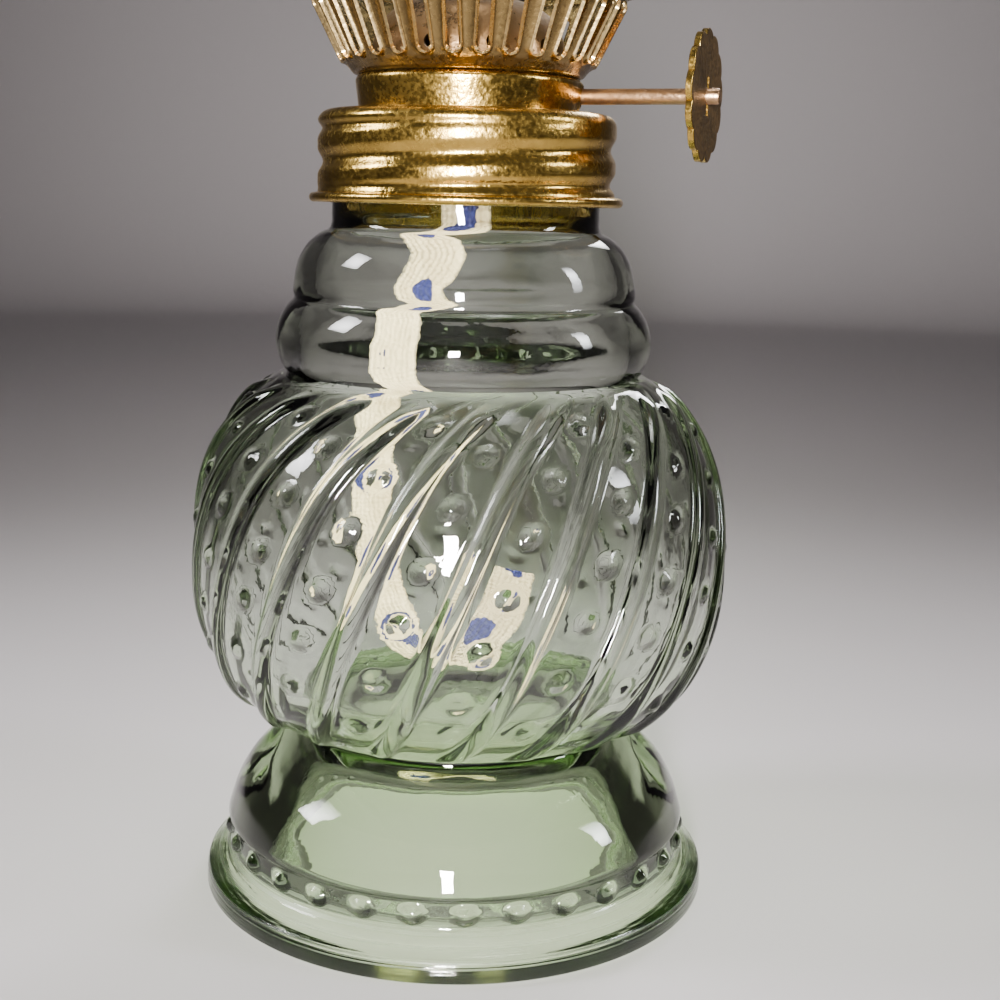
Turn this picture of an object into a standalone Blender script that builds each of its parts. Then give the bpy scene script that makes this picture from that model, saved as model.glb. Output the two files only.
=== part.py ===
"""Miniature flat-wick oil lamp: a pressed glass font on a hollow foot, a screw-on brass burner with a
slotted gallery, a wick drive with its knob, a cotton wick and a clear glass chimney.

Sizes are in millimetres and are scaled to metres when a mesh is made. +Z is up, the origin is the centre
of the foot's resting plane, and the wick shaft runs along +X.
"""

import math

import bmesh
import bpy
from mathutils import Matrix, Vector

MM = 0.001
TAU = 2 * math.pi
GAP = 0.3

# Font: the glass foot, bulb and neck, one piece.
FOOT_R = 31.2
BAND_R = 28.0
WAIST_R, WAIST_Z = 19.4, 20.6
BULB_R = 31.9
BULB_TOP_R, BULB_TOP_Z = 21.0, 63.4
NECK_R, NECK_Z = 15.75, 80.4
NECK_BORE_R = 13.4
LIP_Z = 91.6
FLOOR_Z = 22.6
FOOT_HOLLOW_Z = 15.9
BULB_COLUMNS, PLAIN_COLUMNS = 60, 30

BULB_MIDDLE_Z, BULB_HALF_Z = (WAIST_Z + BULB_TOP_Z) / 2, (BULB_TOP_Z - WAIST_Z) / 2

# Swirl ribs on the bulb: every third column of its skin.
RIBS = 20
RIB_HEIGHT = 0.65
TWIST_EVEN, TWIST_ENDS = math.radians(17), math.radians(13)
RIB_PHASE = math.radians(2.4)

# Screw thread shared by the neck and the cap, right-handed.
PITCH = 4.0
FRONT_ANGLE = math.radians(-69.2)
GROOVE_FRONT_Z = 88.5
THREAD_LOW_Z = 84.0
BEAD_HEIGHT, BEAD_HALF = 0.95, 1.0
GROOVE_DEPTH, GROOVE_HALF = 0.65, 1.5

# Screw cap, pressed from thin sheet.
SHEET = 0.4
CAP_R = 17.4
CAP_FLANGE_R = 18.4
CAP_LOW_Z, CAP_TOP_Z = 82.9, 93.4
CAP_HOLE_R = 11.2
CAP_COLUMNS = 32

# Burner body above the cap.
DRUM_R, DRUM_FOOT_R = 13.05, 12.65
DRUM_LOW_Z, DRUM_TOP_Z = CAP_TOP_Z + GAP, 97.4
CUP_FLOOR_Z = 91.0
LEDGE_Z = 107.4
LEDGE_R = 20.4
SLOTS = 30
SLOT_HALF_ANGLE = math.radians(3.05)
SLOT_PHASE = FRONT_ANGLE - math.radians(5)
PRONG_EVERY = 5

# Wick drive.
SHAFT_Y, SHAFT_Z, SHAFT_R = 3.6, 95.5, 0.9
BEARING_CLEAR, DRUM_HOLE_CLEAR = 0.2, 0.35
SHAFT_X0, SHAFT_X1 = -4.4, 29.0
WHEEL_R, WHEEL_ROOT_R, WHEEL_TEETH, WHEEL_THICK = 2.45, 1.9, 12, 0.6
WHEEL_X = 1.7
KNOB_R, KNOB_X, KNOB_THICK = 7.4, 26.7, 0.8
KNOB_LOBES, KNOB_LOBE_HEIGHT = 13, 0.55
KNOB_SLOT_WIDTH, KNOB_SLOT_LENGTH = 0.8, 4.2

# Wick and its tube: flat sections, width along X.
WICK_W, WICK_T, WICK_TOP_Z = 6.4, 1.6, 105.4
WICK_BEND_Z = 82.4
TUBE_WALL, TUBE_CLEAR = 0.4, 0.3
TUBE_LOW_Z, TUBE_TOP_Z = 88.2, 104.8

# Chimney.
CHIMNEY_WALL = 1.5
CHIMNEY_BASE_R = 19.2
CHIMNEY_LOW_Z, CHIMNEY_TOP_Z = LEDGE_Z + SHEET + GAP, 196.0


def smooth(points, steps):
    """A Catmull-Rom curve through the points, with that many steps between each two."""
    knots = [Vector(p) for p in points]
    knots = [2 * knots[0] - knots[1], *knots, 2 * knots[-1] - knots[-2]]
    curve = []
    for a, b, c, d in zip(knots, knots[1:], knots[2:], knots[3:]):
        for i in range(steps):
            t = i / steps
            square, cube = 2 * a - 5 * b + 4 * c - d, 3 * b - a - 3 * c + d
            curve.append(0.5 * (2 * b + (c - a) * t + square * t**2 + cube * t**3))
    return curve + [knots[-2]]


def arc(centre, radius, start, end, steps):
    """Points of a circular arc in the (radius, height) plane, angles in degrees."""
    turns = [math.radians(start + (end - start) * i / steps) for i in range(steps + 1)]
    return [Vector((centre[0] + radius * math.cos(t), centre[1] + radius * math.sin(t))) for t in turns]


def levels(radius, low, high, count):
    """Evenly spaced points of an upright wall, from low to high."""
    return [Vector((radius, low + (high - low) * i / count)) for i in range(count + 1)]


def material(name, colour, roughness, metallic=0.0, glass=False):
    made = bpy.data.materials.new(name)
    made.use_nodes = True
    shader = made.node_tree.nodes["Principled BSDF"]
    shader.inputs["Base Color"].default_value = (*colour, 1.0)
    shader.inputs["Roughness"].default_value = roughness
    shader.inputs["Metallic"].default_value = metallic
    if glass:
        shader.inputs["Transmission Weight"].default_value = 1.0
        shader.inputs["IOR"].default_value = 1.52
    return made


def new_object(name, bm, finish, parent=None, location=(0, 0, 0)):
    """Scales the mesh from millimetres to metres and adds it to the scene as one named object."""
    bmesh.ops.remove_doubles(bm, verts=bm.verts, dist=1e-4)
    bmesh.ops.recalc_face_normals(bm, faces=bm.faces)
    bmesh.ops.scale(bm, vec=(MM, MM, MM), verts=bm.verts)
    mesh = bpy.data.meshes.new(name)
    bm.to_mesh(mesh)
    bm.free()
    mesh.shade_smooth()
    mesh.set_sharp_from_angle(angle=math.radians(35))
    obj = bpy.data.objects.new(name, mesh)
    bpy.context.scene.collection.objects.link(obj)
    obj.location = Vector(location) * MM
    obj.parent = parent
    if finish:
        mesh.materials.append(finish)
    return obj


def empty(name, location=(0, 0, 0), parent=None):
    obj = bpy.data.objects.new(name, None)
    bpy.context.scene.collection.objects.link(obj)
    obj.location = Vector(location) * MM
    obj.parent = parent
    return obj


def spun(outline, columns, closed):
    """The outline, points of (radius, height), turned about Z. A closed outline makes a ring."""
    bm = bmesh.new()
    verts = [bm.verts.new((p[0], 0, p[1])) for p in outline]
    ends = verts[1:] + verts[:1] if closed else verts[1:]
    edges = [bm.edges.new(pair) for pair in zip(verts, ends)]
    bmesh.ops.spin(
        bm, geom=verts + edges, cent=(0, 0, 0), axis=(0, 0, 1), angle=TAU, steps=columns, use_merge=True
    )
    bmesh.ops.remove_doubles(bm, verts=bm.verts, dist=1e-4)
    return bm


def joined(*parts):
    """One mesh out of several."""
    whole = bmesh.new()
    for part in parts:
        mesh = bpy.data.meshes.new("skin")
        part.to_mesh(mesh)
        part.free()
        whole.from_mesh(mesh)
        bpy.data.meshes.remove(mesh)
    return whole


def angle_order(vert):
    return (math.atan2(vert.co.y, vert.co.x) + 0.01) % TAU


def stitch(bm, ring, following):
    """Triangles between two rings round Z, which may differ in their number of points."""
    low, high = sorted(ring, key=angle_order), sorted(following, key=angle_order)
    i = j = 0
    while i < len(low) or j < len(high):
        if (i + 1) * len(high) <= (j + 1) * len(low):
            bm.faces.new((low[i % len(low)], low[(i + 1) % len(low)], high[j % len(high)]))
            i += 1
        else:
            bm.faces.new((low[i % len(low)], high[(j + 1) % len(high)], high[j % len(high)]))
            j += 1


def turned(bm, outline, columns, shaped):
    """A ring of points for each point of the outline, moved by a function of (radius, angle, height)."""
    rings = []
    for radius, z in outline:
        ring = []
        for i in range(columns):
            r, angle = shaped(radius, i, TAU * i / columns, z)
            ring.append(bm.verts.new((r * math.cos(angle), r * math.sin(angle), z)))
        rings.append(ring)
    for low, high in zip(rings, rings[1:]):
        for i in range(columns):
            k = (i + 1) % columns
            bm.faces.new((low[i], low[k], high[k], high[i]))
    return rings


def sheet_outline(line):
    """A closed outline around a line of (radius, height) points: sheet metal of one thickness."""
    near, far = [], []
    for i, point in enumerate(line):
        before, after = line[max(i - 1, 0)], line[min(i + 1, len(line) - 1)]
        along = (Vector(after) - Vector(before)).normalized()
        side = Vector((along.y, -along.x)) * SHEET / 2
        near.append(Vector(point) + side)
        far.append(Vector(point) - side)
    return near + far[::-1]


def dished_outline(line):
    """An outline around a line that ends on the axis, from one skin over the rim to the other."""
    outline = sheet_outline(line)
    end = len(line)
    on_axis = [Vector((0, outline[end - 1].y)), Vector((0, outline[end].y))]
    return outline[: end - 1] + on_axis + outline[end + 1:] + outline[:1]


def cylinder(radius, low, high, sides=20, axis="Z"):
    """A closed cylinder along Z or X."""
    bm = bmesh.new()
    bmesh.ops.create_cone(
        bm, cap_ends=True, segments=sides, radius1=radius, radius2=radius, depth=high - low
    )
    bmesh.ops.translate(bm, vec=(0, 0, (low + high) / 2), verts=bm.verts)
    if axis == "X":
        bmesh.ops.rotate(bm, matrix=Matrix.Rotation(math.pi / 2, 3, "Y"), verts=bm.verts)
    return bm


def block(low, high):
    """A closed box between two corners."""
    bm = bmesh.new()
    bmesh.ops.create_cube(bm, size=1)
    size = Vector(high) - Vector(low)
    bmesh.ops.scale(bm, vec=size, verts=bm.verts)
    bmesh.ops.translate(bm, vec=(Vector(low) + Vector(high)) / 2, verts=bm.verts)
    return bm


def stadium(width, depth, low, high, sides=5):
    """A closed prism with round ends, its width along X."""
    ends = []
    for sign in (1, -1):
        for i in range(sides + 1):
            t = math.pi * (i / sides - 0.5)
            x = sign * ((width - depth) / 2 + depth / 2 * math.cos(t))
            ends.append((x, sign * depth / 2 * math.sin(t), low))
    bm = bmesh.new()
    face = bm.faces.new([bm.verts.new(p) for p in ends])
    grown = bmesh.ops.extrude_face_region(bm, geom=[face])["geom"]
    bmesh.ops.translate(
        bm, vec=(0, 0, high - low), verts=[v for v in grown if isinstance(v, bmesh.types.BMVert)]
    )
    return bm


def cut(target, name, bm):
    """Takes the closed mesh away from the target with a Boolean. The cutter is only a guide."""
    cutter = new_object(name, bm, None)
    cutter.hide_render = True
    cutter.display_type = "WIRE"
    change = target.modifiers.new(name, "BOOLEAN")
    change.operation = "DIFFERENCE"
    change.solver = "EXACT"
    change.object = cutter


def twist(z):
    """How far the bulb's ribs have turned at a height."""
    u = max(-1.0, min(1.0, (z - BULB_MIDDLE_Z) / BULB_HALF_Z))
    return TWIST_EVEN * u + TWIST_ENDS * u**5


def bump(distance, half):
    """A rounded ridge: 1 on its crest and 0 past its half width."""
    return 0.5 + 0.5 * math.cos(math.pi * distance / half) if abs(distance) < half else 0.0


def groove_distance(angle, z):
    """Height above the nearest turn of the cap's thread groove."""
    start = GROOVE_FRONT_Z + PITCH * (angle - FRONT_ANGLE) / TAU
    return (z - start + PITCH / 2) % PITCH - PITCH / 2


def plain(radius, column, angle, z):
    return radius, angle


def ribbed(radius, column, angle, z):
    """Raises every third column and turns each row, so that the ribs lean."""
    if column % (BULB_COLUMNS // RIBS) == 0:
        radius += RIB_HEIGHT * min(1.0, 4 * bump(z - BULB_MIDDLE_Z, BULB_HALF_Z))
    return radius, angle + twist(z)


def threaded(radius, column, angle, z):
    """Raises the neck's thread bead midway between the turns of the cap's groove."""
    if THREAD_LOW_Z < z < LIP_Z:
        ends = min(1.0, z - THREAD_LOW_Z) * min(1.0, (LIP_Z - z) / 1.2)
        crest = abs(groove_distance(angle + RIB_PHASE, z)) - PITCH / 2
        radius += BEAD_HEIGHT * bump(crest, BEAD_HALF) * ends
    return radius, angle


def font_glass(finish):
    """The font's whole skin as one chain of rings: foot hollow, foot, bulb, neck and reservoir."""
    under = smooth([(9.0, FOOT_HOLLOW_Z), (15.0, 14.2), (18.6, 11.0), (21.2, 6.6), (26.2, 0.7)], 2)
    under += [Vector((FOOT_R - 3.8, 0))]
    foot = [
        Vector((FOOT_R - 0.3, 0)), Vector((FOOT_R, 0.5)), Vector((FOOT_R, 2.3)), Vector((FOOT_R - 0.7, 3.0)),
        Vector((BAND_R, 5.0)), Vector((BAND_R, 8.3)),
    ]
    foot += smooth([(BAND_R + 0.3, 8.8), (27.4, 12.4), (24.0, 17.2), (WAIST_R, WAIST_Z)], 2)
    bulb = smooth(
        [(WAIST_R + 0.1, WAIST_Z + 0.2), (27.6, 26.6), (BULB_R - 0.3, 36.0), (BULB_R - 0.3, 47.0),
         (28.4, 55.6), (BULB_TOP_R, BULB_TOP_Z)], 2,
    )
    rings = smooth([(BULB_TOP_R + 0.1, BULB_TOP_Z + 0.2), (22.3, 67.2), (20.2, 72.2)], 2)
    rings += smooth([(20.2, 72.2), (19.6, 76.2), (NECK_R + 0.3, 80.0)], 2)[1:]
    rings += levels(NECK_R, NECK_Z + 0.3, THREAD_LOW_Z, 1)
    neck = levels(NECK_R, THREAD_LOW_Z, LIP_Z - 0.4, 12)[1:]
    lip = [
        Vector((NECK_R - 0.5, LIP_Z)), Vector((NECK_BORE_R + 0.4, LIP_Z)), Vector((NECK_BORE_R, LIP_Z - 0.5)),
    ]
    hollow = smooth(
        [(NECK_BORE_R, 80.6), (16.8, 76.0), (19.2, 67.4), (19.6, 62.6), (26.6, 54.6),
         (28.8, 44.0), (27.6, 33.4), (20.0, 25.6), (8.0, FLOOR_Z)], 2,
    )
    bm = bmesh.new()
    skins = [
        turned(bm, under, PLAIN_COLUMNS, plain), turned(bm, foot, PLAIN_COLUMNS, plain),
        turned(bm, bulb, BULB_COLUMNS, ribbed), turned(bm, rings, PLAIN_COLUMNS, plain),
        turned(bm, neck, PLAIN_COLUMNS, threaded), turned(bm, lip + hollow, PLAIN_COLUMNS, plain),
    ]
    for skin, following in zip(skins, skins[1:]):
        stitch(bm, skin[-1], following[0])
    bm.faces.new(skins[0][0])
    bm.faces.new(skins[-1][-1])
    font = new_object("font_glass", bm, finish)
    font.rotation_euler.z = RIB_PHASE
    return font


def neck_washer(finish, parent):
    low, high = LIP_Z + 0.15, CAP_TOP_Z - SHEET - 0.15
    outline = [(NECK_BORE_R - 0.4, low), (NECK_R + 0.2, low), (NECK_R + 0.2, high), (NECK_BORE_R - 0.4, high)]
    return new_object("neck_washer", spun(outline, 32, closed=True), finish, parent)


def screw_cap(finish, parent):
    """A pressed skirt with a rolled thread groove, a rolled lower rim and a flat top with a hole."""
    half = SHEET / 2
    rim = arc((CAP_FLANGE_R - 0.55, CAP_LOW_Z + 0.55), 0.35, -90, 90, 3)
    skirt = levels(CAP_R - half, CAP_LOW_Z + 1.15, CAP_TOP_Z - 1.7, 9)
    crown = arc((CAP_R - 1.5, CAP_TOP_Z - 1.5), 1.5 - half, 15, 90, 3)
    line = [Vector((CAP_R - 0.1, CAP_LOW_Z + half))] + rim + skirt + crown
    line += [Vector((CAP_HOLE_R, CAP_TOP_Z - half))]
    bm = spun(sheet_outline(line), CAP_COLUMNS, closed=True)
    for vert in bm.verts:
        x, y, z = vert.co
        radius, angle = math.hypot(x, y), math.atan2(y, x)
        if radius > CAP_R - 0.8 and CAP_LOW_Z + 1.5 < z < CAP_TOP_Z - 1.3:
            ends = min(1.0, (z - CAP_LOW_Z - 1.4) / 0.8) * min(1.0, (CAP_TOP_Z - 1.3 - z) / 0.8)
            radius -= GROOVE_DEPTH * bump(groove_distance(angle, z), GROOVE_HALF) * ends
        vert.co = (radius * math.cos(angle), radius * math.sin(angle), z)
    return new_object("screw_cap", bm, finish, parent)


def base_cup(finish, parent):
    """The dished plate that closes the burner: its rim lies on the cap, its floor hangs in the neck."""
    half = SHEET / 2
    rim_z = DRUM_LOW_Z + half
    line = [
        Vector((DRUM_FOOT_R - 0.8, rim_z)), Vector((CAP_HOLE_R - 0.5, rim_z)),
        Vector((CAP_HOLE_R - 0.8, rim_z - 0.4)), Vector((CAP_HOLE_R - 0.9, CUP_FLOOR_Z + 0.6)),
        Vector((CAP_HOLE_R - 1.4, CUP_FLOOR_Z + half)), Vector((0, CUP_FLOOR_Z + half)),
    ]
    cup = new_object("base_cup", spun(dished_outline(line), 28, closed=False), finish, parent)
    tube_w, tube_t = WICK_W + 2 * (TUBE_CLEAR + TUBE_WALL), WICK_T + 2 * (TUBE_CLEAR + TUBE_WALL)
    cut(cup, "cut_cup_tube", stadium(tube_w + 2 * GAP, tube_t + 2 * GAP, CUP_FLOOR_Z - 2, CUP_FLOOR_Z + 2))
    vent = cylinder(1.0, CUP_FLOOR_Z - 2, CUP_FLOOR_Z + 2, 12)
    bmesh.ops.translate(vent, vec=(0, -6.5, 0), verts=vent.verts)
    cut(cup, "cut_cup_vent", vent)
    return cup


def burner_drum(finish, parent):
    """The short drum, slightly narrower at its foot, with the plain hole that the shaft comes out of."""
    half = SHEET / 2
    line = [Vector((DRUM_FOOT_R - half, DRUM_LOW_Z)), Vector((DRUM_R - half, DRUM_TOP_Z - 0.6))]
    line += [Vector((DRUM_R - 0.5, DRUM_TOP_Z - half)), Vector((DRUM_R - 1.2, DRUM_TOP_Z - half))]
    drum = new_object("burner_drum", spun(sheet_outline(line), CAP_COLUMNS, closed=True), finish, parent)
    hole = cylinder(SHAFT_R + DRUM_HOLE_CLEAR, 8, 18, 16, "X")
    bmesh.ops.translate(hole, vec=(0, SHAFT_Y, SHAFT_Z), verts=hole.verts)
    cut(drum, "cut_drum_hole", hole)
    return drum


def gallery_basket(finish, parent):
    """The slotted bowl, the ledge that the chimney stands on, and the crown of tabs and prongs."""
    wall = [
        (11.9, DRUM_TOP_Z + 0.5), (DRUM_R + 0.1, DRUM_TOP_Z + 0.5), (13.7, 98.4), (14.3, 99.1),
        (14.9, 100.2), (17.2, 104.8), (17.6, 105.7), (18.3, LEDGE_Z - 0.3), (LEDGE_R, LEDGE_Z),
        (LEDGE_R + 0.2, 109.6),
    ]
    slot_low, slot_high = 3, 5
    tab = [(LEDGE_R + 0.5, 111.4), (LEDGE_R + 1.2, 113.4)]
    prong = [(LEDGE_R + 0.1, 112.2), (LEDGE_R - 0.6, 114.8), (LEDGE_R + 0.3, 117.2)]
    bm = bmesh.new()

    def point(radius, angle, z):
        return bm.verts.new((radius * math.cos(angle), radius * math.sin(angle), z))

    rows = []
    for radius, z in wall:
        row = []
        for sector in range(SLOTS):
            middle = SLOT_PHASE + TAU * sector / SLOTS
            row += [point(radius, middle + side * SLOT_HALF_ANGLE, z) for side in (-1, 0, 1)]
        rows.append(row)
    count = 3 * SLOTS
    for r, (low, high) in enumerate(zip(rows, rows[1:])):
        for c in range(count):
            n = (c + 1) % count
            on_slot = c % 3 < 2
            if not on_slot or not slot_low <= r <= slot_high:
                bm.faces.new((low[c], low[n], high[n], high[c]))
            elif r == slot_low:
                corner = (low[c], low[n], high[c]) if c % 3 == 0 else (low[c], low[n], high[n])
                bm.faces.new(corner)
            elif r == slot_high:
                corner = (low[c], high[n], high[c]) if c % 3 == 0 else (low[n], high[n], high[c])
                bm.faces.new(corner)
    for sector in range(SLOTS):
        left, right = 3 * sector + 2, (3 * sector + 3) % count
        start = SLOT_PHASE + TAU * sector / SLOTS + SLOT_HALF_ANGLE
        width = TAU / SLOTS - 2 * SLOT_HALF_ANGLE
        below = (rows[-1][left], rows[-1][right])
        shape = prong if sector % PRONG_EVERY == 0 else tab
        for i, (radius, z) in enumerate(shape):
            inset = width * (0.12 if i == len(shape) - 1 else 0.0)
            above = (point(radius, start + inset, z), point(radius, start + width - inset, z))
            bm.faces.new((below[0], below[1], above[1], above[0]))
            below = above
    basket = new_object("gallery_basket", bm, finish, parent)
    skin = basket.modifiers.new("sheet", "SOLIDIFY")
    skin.thickness = SHEET * MM
    skin.offset = 0
    skin.use_even_offset = True
    return basket


def flame_deflector(finish, parent):
    """The dome over the wick tube, with the flame's slit and a row of draught holes in its skirt."""
    base = DRUM_TOP_Z + 0.5 + SHEET / 2 + GAP + SHEET / 2
    line = [Vector((12.3, base)), Vector((11.4, base))]
    line += [
        Vector((11.2, base + 0.5)), Vector((10.7, base + 3.0)), Vector((8.6, base + 5.9)),
        Vector((4.5, base + 7.5)), Vector((0, base + 7.9)),
    ]
    dome = new_object("flame_deflector", spun(dished_outline(line), 28, closed=False), finish, parent)
    cut(dome, "cut_flame_slit", stadium(9.6, 4.6, base + 3, base + 12))
    holes = bmesh.new()
    for i in range(10):
        hole = cylinder(0.8, 8, 14, 6, "X")
        bmesh.ops.rotate(hole, matrix=Matrix.Rotation(TAU * (i + 0.5) / 10, 3, "Z"), verts=hole.verts)
        holes = joined(holes, hole)
    bmesh.ops.translate(holes, vec=(0, 0, base + 1.8), verts=holes.verts)
    cut(dome, "cut_draught_holes", holes)
    return dome


def wick_tube(finish, parent):
    """A flat tube round the wick, with a window in its back for the two wheels."""
    inner_w, inner_t = WICK_W + 2 * TUBE_CLEAR, WICK_T + 2 * TUBE_CLEAR
    bm = stadium(inner_w + 2 * TUBE_WALL, inner_t + 2 * TUBE_WALL, TUBE_LOW_Z, TUBE_TOP_Z)
    tube = new_object("wick_tube", bm, finish, parent)
    cut(tube, "cut_tube_bore", stadium(inner_w, inner_t, TUBE_LOW_Z - 2, TUBE_TOP_Z + 2))
    for side in (-1, 1):
        x = side * WHEEL_X
        reach = WHEEL_THICK / 2 + 0.35
        window = block((x - reach, 0.9, SHAFT_Z - 2.0), (x + reach, 3.0, SHAFT_Z + 2.0))
        cut(tube, f"cut_tube_window_{'left' if side < 0 else 'right'}", window)
    return tube


def wheel_housing(finish, parent):
    """The folded box behind the tube that carries the shaft and covers the wheels."""
    back = WICK_T / 2 + TUBE_CLEAR + TUBE_WALL + GAP
    low, high = (-3.6, back, SHAFT_Z - 3.1), (3.6, SHAFT_Y + 3.2, SHAFT_Z + 3.1)
    box = new_object("wheel_housing", block(low, high), finish, parent)
    inside = block(
        (low[0] + SHEET, low[1] - 1, low[2] + SHEET), (high[0] - SHEET, high[1] - SHEET, high[2] - SHEET)
    )
    cut(box, "cut_housing_inside", inside)
    hole = cylinder(SHAFT_R + BEARING_CLEAR, -8, 8, 16, "X")
    bmesh.ops.translate(hole, vec=(0, SHAFT_Y, SHAFT_Z), verts=hole.verts)
    cut(box, "cut_housing_bearings", hole)
    return box


def toothed_disc(inner, outer, count, thickness, power, crest=0.0):
    """A flat disc with a waved rim, one crest at the given angle. The power sharpens the waves into teeth."""
    bm = bmesh.new()
    per = 4 if power > 1 else 5
    rim = []
    for i in range(count * per):
        wave = abs(math.cos(math.pi * i / per)) ** power
        radius = inner + (outer - inner) * wave
        angle = crest + TAU * i / (count * per)
        rim.append(bm.verts.new((0, radius * math.cos(angle), radius * math.sin(angle))))
    face = bm.faces.new(rim)
    grown = bmesh.ops.extrude_face_region(bm, geom=[face])["geom"]
    moved = [v for v in grown if isinstance(v, bmesh.types.BMVert)]
    bmesh.ops.translate(bm, vec=(thickness, 0, 0), verts=moved)
    bmesh.ops.translate(bm, vec=(-thickness / 2, 0, 0), verts=bm.verts)
    return bm


def wick_wheel(name, x, finish, axis):
    wheel = new_object(
        name, toothed_disc(WHEEL_ROOT_R, WHEEL_R, WHEEL_TEETH, WHEEL_THICK, 2), finish, axis, (x, 0, 0)
    )
    bore = cylinder(SHAFT_R + 0.12, -2, 2, 16, "X")
    bmesh.ops.translate(bore, vec=(x, SHAFT_Y, SHAFT_Z), verts=bore.verts)
    cut(wheel, f"cut_{name}_bore", bore)
    return wheel


def wick_shaft(finish, axis):
    """The wire spindle, with a chamfer at each end."""
    bm = cylinder(SHAFT_R, SHAFT_X0, SHAFT_X1, 16, "X")
    tips = [e for e in bm.edges if abs(e.verts[0].co.x - e.verts[1].co.x) < 1e-6]
    bmesh.ops.bevel(bm, geom=tips, offset=0.15, segments=1, affect="EDGES")
    return new_object("wick_shaft", bm, finish, axis)


def wick_knob(finish, axis):
    """The lobed thumb disc, a flat stamping with a hole and a narrow slot for the shaft's end."""
    middle = KNOB_X + KNOB_THICK / 2
    rim = toothed_disc(KNOB_R - KNOB_LOBE_HEIGHT, KNOB_R, KNOB_LOBES, KNOB_THICK, 1, math.pi / 2)
    knob = new_object("wick_knob", rim, finish, axis, (middle, 0, 0))
    hole = cylinder(SHAFT_R + 0.12, KNOB_X - 2, KNOB_X + 3, 16, "X")
    across, up = KNOB_SLOT_WIDTH / 2, KNOB_SLOT_LENGTH / 2
    slot = block((KNOB_X - 2, -across, -up), (KNOB_X + 3, across, up))
    for name, cutter in (("cut_knob_hole", hole), ("cut_knob_slot", slot)):
        bmesh.ops.translate(cutter, vec=(0, SHAFT_Y, SHAFT_Z), verts=cutter.verts)
        cut(knob, name, cutter)
    return knob


def wick(finish, parent):
    """The flat cotton wick: straight through its tube, then down the bulb and curled at its foot."""
    route = [Vector((0, 0, WICK_TOP_Z)), Vector((0, 0, 94)), Vector((0, 0, WICK_BEND_Z))]
    hanging = [
        (0, 0, WICK_BEND_Z), (-1.7, -0.8, 78.4), (-5.4, -2.3, 72.4), (-8.0, -3.2, 64.5), (-10.0, -4.2, 54.0),
        (-9.6, -4.4, 44.0), (-8.0, -4.0, 35.0), (-5.4, -3.2, 29.4), (-1.6, -1.8, 27.9), (2.6, 0.4, 29.6),
        (5.0, 2.6, 34.4), (5.6, 4.0, 38.6),
    ]
    route += smooth(hanging, 2)[1:]
    bm = bmesh.new()
    across = Vector((1, 0, 0))
    rings = []
    for i, point in enumerate(route):
        along = (route[min(i + 1, len(route) - 1)] - route[max(i - 1, 0)]).normalized()
        through = along.cross(across).normalized()
        side = through.cross(along).normalized()
        corners = ((1, 0.55), (0.8, 1), (-0.8, 1), (-1, 0.55), (-1, -0.55), (-0.8, -1), (0.8, -1), (1, -0.55))
        rings.append([
            bm.verts.new(point + side * a * WICK_W / 2 + through * b * WICK_T / 2) for a, b in corners
        ])
    for low, high in zip(rings, rings[1:]):
        for k in range(8):
            bm.faces.new((low[k], low[(k + 1) % 8], high[(k + 1) % 8], high[k]))
    bm.faces.new(rings[0])
    bm.faces.new(rings[-1])
    return new_object("wick", bm, finish, parent)


def chimney_glass(finish, parent):
    """A clear chimney: straight base, full belly, narrow top, with fire-polished ends."""
    low, high, half = CHIMNEY_LOW_Z, CHIMNEY_TOP_Z, CHIMNEY_WALL / 2
    middle = smooth(
        [(CHIMNEY_BASE_R - half, low), (CHIMNEY_BASE_R - half, low + 7), (22.4, low + 25), (17.6, low + 48),
         (13.6, low + 70), (14.4, high)], 2,
    )
    outer = [p + Vector((half, 0)) for p in middle]
    inner = [p - Vector((half, 0)) for p in middle]
    ends = [Vector((middle[-1].x, high + 0.5))]
    return new_object("chimney_glass", spun(outer + ends + inner[::-1], 32, closed=True), finish, parent)


def main():
    for obj in list(bpy.data.objects):
        bpy.data.objects.remove(obj)
    glass = material("pale_green_glass", (0.86, 0.94, 0.86), 0.03, glass=True)
    clear = material("clear_glass", (0.96, 0.98, 0.96), 0.02, glass=True)
    brass = material("brass_plate", (0.80, 0.56, 0.20), 0.22, 1.0)
    copper = material("coppery_brass", (0.72, 0.45, 0.26), 0.30, 1.0)
    steel = material("plated_steel", (0.55, 0.53, 0.50), 0.35, 1.0)
    cork = material("cork", (0.55, 0.40, 0.24), 0.9)
    cotton = material("cotton", (0.86, 0.78, 0.66), 0.95)

    font_glass(glass)
    rise = empty("burner_rise_axis", (0, 0, 0))
    turn = empty("burner_turn_axis", (0, 0, 0), rise)
    neck_washer(cork, rise)
    screw_cap(brass, turn)
    base_cup(brass, turn)
    burner_drum(brass, turn)
    gallery_basket(brass, turn)
    flame_deflector(copper, turn)
    wick_tube(brass, turn)
    wheel_housing(steel, turn)
    drive = empty("knob_axis", (0, SHAFT_Y, SHAFT_Z), turn)
    wick_shaft(copper, drive)
    wick_wheel("wick_wheel_left", -WHEEL_X, steel, drive)
    wick_wheel("wick_wheel_right", WHEEL_X, steel, drive)
    wick_knob(copper, drive)
    wick(cotton, empty("wick_axis", (0, 0, 0), turn))
    chimney_glass(clear, empty("chimney_axis", (0, 0, 0), turn))


main()
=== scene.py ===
"""The looks of the miniature oil lamp: fine glass, brass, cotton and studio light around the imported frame.

Lengths are in millimetres and become metres where a mesh is made. The lamp stands on z = 0 with its axis at
x = y = 0, and its wick shaft runs along +X. Angles round the lamp are counted from +X.
"""

import math

import bmesh
import bpy
import numpy as np
from mathutils import Matrix, Vector


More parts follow.
